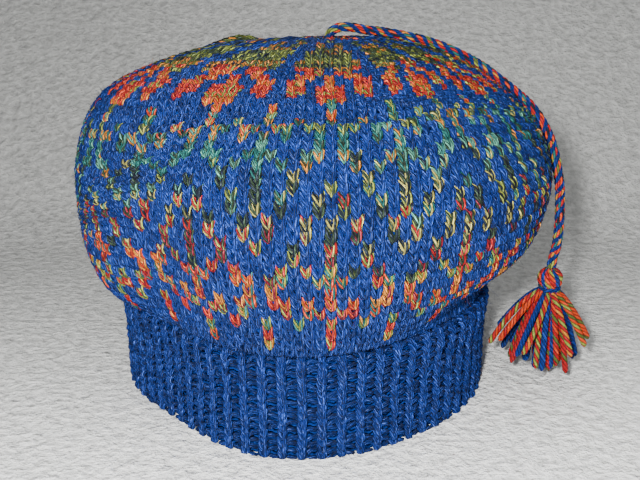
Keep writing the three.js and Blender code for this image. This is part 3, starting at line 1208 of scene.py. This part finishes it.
@dataclass
class Linings:
    """Closed shells under the stitches, which the stitches' roots sink into."""

    form: TamForm
    body_sink: float = 0.0012
    body_wall: float = 0.0022
    band_sink: float = 0.0026
    # Shares of the band lining's profile where it passes the lip and reaches the hem inside
    lip_place: float = 0.6
    hem_place: float = 0.96
    lip_drop: float = 0.0012
    doubles: float = 0.00002

    def shell(self, name: str, around: int, rows: int, point: Profile) -> Piece:
        """Shape a flat grid into a shell.

        Args:
            name: The piece's name.
            around: Steps round the hat.
            rows: Steps along the profile.
            point: Gives points for turns and places along the profile.

        Returns:
            The new object.
        """
        mesh = bmesh.new()
        bmesh.ops.create_grid(mesh, x_segments=around, y_segments=rows, size=0.5, calc_uvs=True)
        layer = mesh.loops.layers.uv.verify()
        for face in mesh.faces:
            for loop in face.loops:
                loop[layer].uv = (loop.vert.co.x + 0.5, loop.vert.co.y + 0.5)
        flat = np.array([vert.co[:] for vert in mesh.verts])
        for vert, place in zip(mesh.verts, point((flat[:, 0] + 0.5) * 360.0, flat[:, 1] + 0.5)):
            vert.co = place
        bmesh.ops.remove_doubles(mesh, verts=mesh.verts, dist=self.doubles)
        piece = add_smooth(name, mesh)
        piece.data.uv_layers[0].name = "yarn"
        LOG.info("%s: %d faces", name, len(piece.data.polygons))
        return piece

    def body_point(self, turn: np.ndarray, place: np.ndarray) -> np.ndarray:
        """Points of the body's lining, from the seam over the crown and back inside.

        Args:
            turn: Degrees from the front towards +X.
            place: Places along the profile, from 0 to 1.

        Returns:
            The points.
        """
        outside = place < 0.5
        share = np.where(outside, 2 * place, 2 - 2 * place)
        lift = np.where(outside, -self.body_sink, -self.body_sink - self.body_wall)
        return self.form.body(turn, share, lift)

    def band_point(self, turn: np.ndarray, place: np.ndarray) -> np.ndarray:
        """Points of the band's lining, up its outer face, over the lip, down inside and out to the hem.

        Args:
            turn: Degrees from the front towards +X.
            place: Places along the profile, from 0 to 1.

        Returns:
            The points.
        """
        form = self.form
        share = np.clip(place / self.lip_place, 0.0, 1.0)
        sunk = np.full_like(share, -self.band_sink)
        outer = form.band(turn, share, sunk)
        fall = np.clip((place - self.lip_place) / (self.hem_place - self.lip_place), 0.0, 1.0)
        level = (1.0 - fall) * (form.band_height - self.lip_drop)
        inner = ring_point(turn, form.band_offset, form.band_inner_radius - form.band_dent(turn), level)
        closing = np.clip((place - self.hem_place) / (1.0 - self.hem_place), 0.0, 1.0)[:, None]
        inner = inner * (1.0 - closing) + form.band(turn, np.zeros_like(share), sunk) * closing
        return np.where((place < self.lip_place)[:, None], outer, inner)

    def body(self) -> Piece:
        """Lining of the body."""
        return self.shell("body_lining", 120, 96, self.body_point)

    def band(self) -> Piece:
        """Lining of the band."""
        return self.shell("band_lining", 128, 50, self.band_point)


def smooth_route(points: np.ndarray, steps: int) -> np.ndarray:
    """Points along a smooth curve through a few chosen ones.

    Args:
        points: The chosen points.
        steps: Steps between two of them.

    Returns:
        The dense points.
    """
    padded = np.concatenate([[2 * points[0] - points[1]], points, [2 * points[-1] - points[-2]]])
    share = (np.arange(steps) / steps)[:, None]
    parts = []
    for index in range(len(points) - 1):
        before, start, end, after = padded[index:index + 4]
        parts.append(
            start
            + 0.5 * share * (end - before)
            + share**2 * (before - 2.5 * start + 2 * end - 0.5 * after)
            + share**3 * (1.5 * (start - end) + 0.5 * (after - before))
        )
    return np.concatenate([*parts, points[-1:]])


def resample(path: np.ndarray, count: int) -> np.ndarray:
    """The same path with evenly spaced points."""
    run = run_along(path)
    return np.stack([np.interp(np.linspace(0.0, run[-1], count), run, path[:, axis]) for axis in range(3)], axis=1)


@dataclass
class TwistedCord:
    """Four thick strands twisted into a cord, two blue and two of the variegated yarn."""

    shades: YarnShades
    diameter: float = 0.0050
    strand_radius: float = 0.00116
    lay_length: float = 0.0125
    uneven_length: float = 0.0043
    root: float = 0.0040
    rings: int = 300
    run: int = 12
    sides: int = 8

    @property
    def route(self) -> np.ndarray:
        """Dense points of the cord's middle line."""
        return resample(smooth_route(np.array(CORD_ROUTE), 12), 160)

    def build(self, rng: Random) -> Piece:
        """Twist the strands round the route, with a short root down into the crown.

        Args:
            rng: The random numbers.

        Returns:
            The new object.
        """
        route = self.route
        root = route[0] + np.linspace(1.0, 0.1, 4)[:, None] * (-0.0012, 0.0, -self.root)
        path = resample(np.concatenate([root, route]), self.rings + 1)
        side, other = (across[0] for across in untwisted_frames(path[None]))
        along = run_along(path)
        reach = self.diameter / 2 - self.strand_radius
        runs = self.rings // self.run
        parts = []
        shades = np.repeat(self.shades.main(4, rng), runs, axis=0)
        yarns = np.array([ORANGE, RED, AMBER, OLIVE, INK, TEAL, LIME, ORANGE, RED])
        for strand in range(4):
            angle = 2 * math.pi * along / self.lay_length + strand * math.pi / 2
            angle = (angle + 0.5 * np.sin(along / self.uneven_length))[:, None]
            twisted = path + reach * (np.cos(angle) * side + np.sin(angle) * other)
            parts.extend(twisted[first:first + self.run + 1] for first in range(0, self.rings, self.run))
            if strand % 2:
                order = 2 * strand + np.arange(runs) + rng.integers(0, 2, runs)
                for ply in range(3):
                    shades[strand * runs:(strand + 1) * runs, ply] = yarns[(order + 3 * ply) % len(yarns)]
        yarn = Tube.make(self.run, self.sides)
        points, lengths = yarn.bend(np.array(parts), np.full((len(parts), self.run + 1), self.strand_radius))
        return joined_mesh("cord_twist", yarn, points, lengths, shades, np.zeros(len(parts)))


@dataclass
class Tassel:
    """A round wrapped head, a bound neck and a skirt of loose strands."""

    shades: YarnShades
    centre: tuple[float, float] = (0.1191, -0.0120)
    head_height: float = 0.0550
    head_radius: float = 0.0060
    neck_foot: float = 0.0462
    neck_radius: float = 0.0054
    neck_top: float = 0.0500
    strand_radius: float = 0.00150
    wraps: int = 13
    binding_turns: float = 4.5
    binding_radius: float = 0.0012
    skirt_root: float = 0.0024
    lopsided: float = 0.14
    contrast_share: float = 0.42
    sides: int = 8
    # Strands, their reach sideways and their fall
    layers: tuple[tuple[int, float, float], ...] = ((13, 0.0275, 0.0260), (16, 0.0195, 0.0370), (12, 0.0095, 0.0400))

    def strand_shades(self, contrast: np.ndarray, rng: Random) -> np.ndarray:
        """Colours of strands, of which some are of the variegated yarn.

        Args:
            contrast: Which strands are of the variegated yarn.
            rng: The random numbers.

        Returns:
            Colours as strands by 3 by 3.
        """
        shades = self.shades.main(len(contrast), rng)
        marked = np.flatnonzero(contrast)
        for ply, palette in enumerate(((AMBER, LIME, RED, OLIVE), (ORANGE, RED, RED), (OLIVE, LIME, RED, ORANGE))):
            shades[marked, ply] = np.array(palette)[rng.integers(0, len(palette), len(marked))] * self.shades.level
        return shades

    def head(self, rng: Random) -> Piece:
        """Slanting wraps over a round head.

        Args:
            rng: The random numbers.

        Returns:
            The new object.
        """
        wraps = self.wraps
        levels = 12
        tube = Tube.make(levels, self.sides)
        share = np.linspace(0.06, 0.92, levels + 1)
        reach = self.head_radius - self.strand_radius * 0.75
        polar = share * math.pi
        paths = np.empty((wraps, levels + 1, 3))
        for wrap in range(wraps):
            angle = 2 * math.pi * wrap / wraps + 0.9 * share + rng.normal(0.0, 0.05)
            paths[wrap, :, 0] = self.centre[0] + reach * np.sin(polar) * np.cos(angle)
            paths[wrap, :, 1] = self.centre[1] + reach * np.sin(polar) * np.sin(angle)
            paths[wrap, :, 2] = self.head_height + reach * np.cos(polar) * 1.02
        radii = self.strand_radius * (0.6 + 0.5 * np.sin(polar))[None] * np.ones((wraps, 1))
        points, run = tube.bend(paths, radii)
        shades = self.strand_shades(np.arange(wraps) % 3 != 1, rng)
        return joined_mesh("tassel_head", tube, points, run, shades, rng.random(wraps))

    def neck(self, rng: Random) -> Piece:
        """Blue yarn bound round the neck.

        Args:
            rng: The random numbers.

        Returns:
            The new object.
        """
        levels = 100
        tube = Tube.make(levels, self.sides)
        share = np.linspace(0.0, 1.0, levels + 1)
        angle = 2 * math.pi * self.binding_turns * share
        reach = self.neck_radius - self.binding_radius + 0.0004 * np.cos(2 * math.pi * share)
        path = np.stack(
            [
                self.centre[0] + reach * np.cos(angle),
                self.centre[1] + reach * np.sin(angle),
                self.neck_foot + 0.0008 + (self.neck_top - self.neck_foot) * share,
            ],
            axis=1,
        )
        points, run = tube.bend(path[None], np.full((1, levels + 1), self.binding_radius))
        return joined_mesh("tassel_neck", tube, points, run, self.shades.main(1, rng), rng.random(1))

    def skirt(self, rng: Random) -> Piece:
        """Strands that splay out and down from the neck.

        Args:
            rng: The random numbers.

        Returns:
            The new object.
        """
        levels = 15
        tube = Tube.make(levels, self.sides)
        share = np.append(np.linspace(0.0, 0.965, levels), 1.0)
        top = self.neck_foot + 0.0025
        paths = []
        for count, spread, fall in self.layers:
            for index in range(count):
                heading = 2 * math.pi * (index + 0.6 * rng.random()) / count
                reach = spread * rng.uniform(0.84, 1.04) * (1.0 - self.lopsided * math.cos(heading))
                out = self.skirt_root + (reach - self.skirt_root) * share**0.9
                swing = heading + rng.normal(0.0, 0.16) * share
                height = top - fall * rng.uniform(0.93, 1.04) * share**1.35
                across = (self.centre[0] + out * np.cos(swing), self.centre[1] + out * np.sin(swing))
                paths.append(np.stack([*across, height], axis=1))
        radii = self.strand_radius * np.ones((len(paths), levels + 1))
        radii[:, -1] *= 0.35
        points, run = tube.bend(np.array(paths), radii)
        contrast = rng.random(len(paths)) < self.contrast_share
        return joined_mesh(
            "tassel_skirt", tube, points, run, self.strand_shades(contrast, rng), rng.random(len(paths))
        )


def grow_fuzz(piece: Piece, count: int, centre: Triple, rng: Random) -> Piece:
    """Stray fibres that stand off a piece of yarn, in the colours of its plies.

    Args:
        piece: The piece that they grow from.
        count: How many fibres.
        centre: The point that they lean away from.
        rng: The random numbers.

    Returns:
        The new object.
    """
    mesh = piece.data
    corners = np.empty(len(mesh.vertices) * 3, dtype=np.float32)
    mesh.vertices.foreach_get("co", corners)
    chosen = rng.integers(0, len(mesh.vertices), count)
    roots = corners.reshape(-1, 3)[chosen]
    shades = np.empty((count, 3, 3))
    for index, ply in enumerate(Ply):
        colours = np.empty(len(mesh.vertices) * 4, dtype=np.float32)
        mesh.attributes[ply.value].data.foreach_get("color", colours)
        shades[:, index] = colours.reshape(-1, 4)[chosen, :3]
    outward = roots - np.array(centre)
    outward /= np.linalg.norm(outward, axis=1, keepdims=True)
    sideways = rng.standard_normal((count, 3)).clip(-FIBRE_STRAY, FIBRE_STRAY)
    sideways -= outward * np.sum(outward * sideways, axis=1, keepdims=True)
    lift = rng.uniform(0.1, 0.9, (count, 1))
    length = rng.uniform(*FIBRE_LENGTH, (count, 1, 1))
    start = (0.6 * sideways + lift * outward)[:, None]
    curl = (0.5 * rng.standard_normal((count, 3)).clip(-FIBRE_STRAY, FIBRE_STRAY) - 0.5 * lift * outward)[:, None]
    share = np.linspace(0.0, 1.0, 3)[None, :, None]
    tube = Tube.make(2, 3)
    paths = roots[:, None] + length * (share * start + share**2 * curl)
    points, run = tube.bend(paths, np.full((count, 3), FIBRE_RADIUS))
    points[..., 2] = np.maximum(points[..., 2], FIBRE_FLOOR)
    return joined_mesh(piece.name + "_fuzz", tube, points, run, shades, rng.random(count))


@dataclass
class Studio:
    """A pale floor that turns up behind the hat, soft lights and the camera."""

    picture_width: int = 640
    focal_pixels: float = 1051.0
    sensor: float = 36.0
    camera_place: Triple = (0.0029, -0.500, 0.264)
    camera_pitch: float = 21.1
    tint: tuple[float, ...] = (0.90, 0.90, 0.87, 1.0)
    floor_reach: float = 1.6
    slope_start: float = 0.16
    slope_radius: float = 0.14
    slope_turn: float = 5.5
    slope_steps: int = 6
    slope_end: tuple[float, float] = (0.44, 0.155)
    target: Triple = (0.0, 0.0, 0.08)
    sky: tuple[float, ...] = (0.96, 0.98, 1.0, 1.0)
    sky_strength: float = 0.24

    def camera(self) -> None:
        """Stand the camera where the photo was taken."""
        data = bpy.data.cameras.new("camera")
        data.sensor_width = self.sensor
        data.lens = self.focal_pixels / self.picture_width * self.sensor
        data.clip_start = 0.01
        eye = add_object("camera", data)
        eye.location = self.camera_place
        eye.rotation_euler = (math.radians(90.0 - self.camera_pitch), 0.0, 0.0)
        bpy.context.scene.camera = eye

    def paint(self) -> Material:
        """Make the plain pale finish with a faint grain, and painted light and shade that make it brighter at the front
        and darker towards the back and the left.

        Returns:
            The material.
        """
        material, graph, shader = new_material("pale_floor")
        where = graph.node("TexCoord", {})["Object"]
        noise = graph.node("TexNoise", {"Vector": where, "Scale": 190.0, "Detail": 5.0, "Roughness": 0.62})["Fac"]
        across, depth, _ = graph.node("SeparateXYZ", {0: where})
        # Painted light and shade: brighter towards the front, darker towards the back and the left side
        back = graph.fade(depth, (-0.16, 0.17), (1.2, 0.56))
        side = graph.fade(across, (-0.22, 0.02), (0.86, 1.0))
        grain = graph.math("MULTIPLY_ADD", noise, 1.6, 0.30)
        shade = graph.math("MULTIPLY", grain, graph.math("MULTIPLY", back, side))
        graph.feed(shader, {
            "Base Color": graph.mix("MULTIPLY", 1.0, graph.grey(shade), self.tint),
            "Normal": graph.raise_height(noise, 0.006), "Roughness": 0.95,
        })
        return material

    def floor(self) -> None:
        """A flat floor whose back edge curves up into a low slope."""
        mesh = bmesh.new()
        reach = self.floor_reach
        edges = [mesh.edges.new([mesh.verts.new((side, -reach, 0.0)) for side in (-reach, reach)])]
        profile = [(-reach, 0.0), (self.slope_start, 0.0)]
        for step in range(1, self.slope_steps + 1):
            angle = math.radians(self.slope_turn * step)
            rise = self.slope_radius * (1.0 - math.cos(angle))
            profile.append((self.slope_start + self.slope_radius * math.sin(angle), rise))
        profile.append(self.slope_end)
        for before, after in zip(profile, profile[1:]):
            edges = extrude(mesh, edges, (0.0, after[0] - before[0], after[1] - before[1]))
        piece = add_smooth("floor", mesh)
        piece.data.materials.append(self.paint())

    def light(self, name: str, place: Triple, size: float, power: float) -> None:
        """Add one soft square light that looks at the hat.

        Args:
            name: The light's name.
            place: Where it stands.
            size: Its side.
            power: Its power in watts.
        """
        data = bpy.data.lights.new(name, "AREA")
        data.shape = "SQUARE"
        data.size = size
        data.energy = power
        lamp = add_object(name, data)
        lamp.location = place
        lamp.rotation_euler = (Vector(self.target) - Vector(place)).to_track_quat("-Z", "Y").to_euler()

    def lights(self) -> None:
        """A key light beside the camera, a fill and a pale sky."""
        self.light("key", (-0.045, -0.52, 0.31), 0.035, 6.8)
        self.light("fill", (0.9, -0.5, 0.7), 0.9, 1.9)
        self.light("top", (-0.1, -0.2, 1.3), 1.0, 4.6)
        world = bpy.data.worlds.new("sky")
        world.use_nodes = True
        sky = world.node_tree.nodes["Background"]
        sky.inputs["Color"].default_value = self.sky
        sky.inputs["Strength"].default_value = self.sky_strength
        bpy.context.scene.world = world


def main() -> None:
    """Build the hat piece by piece, then the studio."""
    logging.basicConfig(level=logging.INFO, format="%(name)s: %(message)s")
    rng = np.random.default_rng(11)
    studio = Studio()
    studio.camera()
    shades = YarnShades()
    plies = yarn_group()
    cord = TwistedCord(shades)
    cord_piece = cord.build(rng)
    tassel = Tassel(shades)
    tassel_pieces = [tassel.head(rng), tassel.neck(rng), tassel.skirt(rng)]
    thick_wool = YarnFinish("thick_wool", turn_length=0.0105, places=4.0, fibre_contrast=2.0).build(plies)
    settle(cord_piece, thick_wool, "cord_wool", "twisted_cord")
    tassel_pieces.append(grow_fuzz(tassel_pieces[2], 500, (*tassel.centre, tassel.neck_foot), rng))
    for piece in tassel_pieces:
        settle(piece, thick_wool, "tassel_wool", "tassel")
    form = TamForm()
    knit_wool = YarnFinish("knit_wool").build(plies)
    ridges = purl_group()
    linings = Linings(form)
    settle(linings.body(), LiningFinish("body_lining_wool").build(ridges), "stranded_wool", "tam_body")
    settle(linings.band(), LiningFinish("band_lining_wool", columns=128.0).build(ridges), "rib_wool", "ribbed_band")
    body = BodyKnit(form, shades)
    stitches = body.lay_out(rng)
    for name, low, high in (("belly_stitches", -9, 10), ("shoulder_stitches", 11, 23), ("crown_stitches", 24, 99)):
        chosen = (stitches.row >= low) & (stitches.row <= high)
        piece = body.knit(name, stitches.pick(chosen), rng)
        for part in (piece, grow_fuzz(piece, 4800, (0.0, 0.0, 0.09), rng)):
            settle(part, knit_wool, "stranded_wool", "tam_body")
    for piece in BandKnit(form, shades).knit("band", rng):
        for part in (piece, grow_fuzz(piece, 2000, (0.0, 0.0, 0.03), rng)):
            settle(part, knit_wool, "rib_wool", "ribbed_band")
    studio.floor()
    studio.lights()


if __name__ == "__main__":
    main()
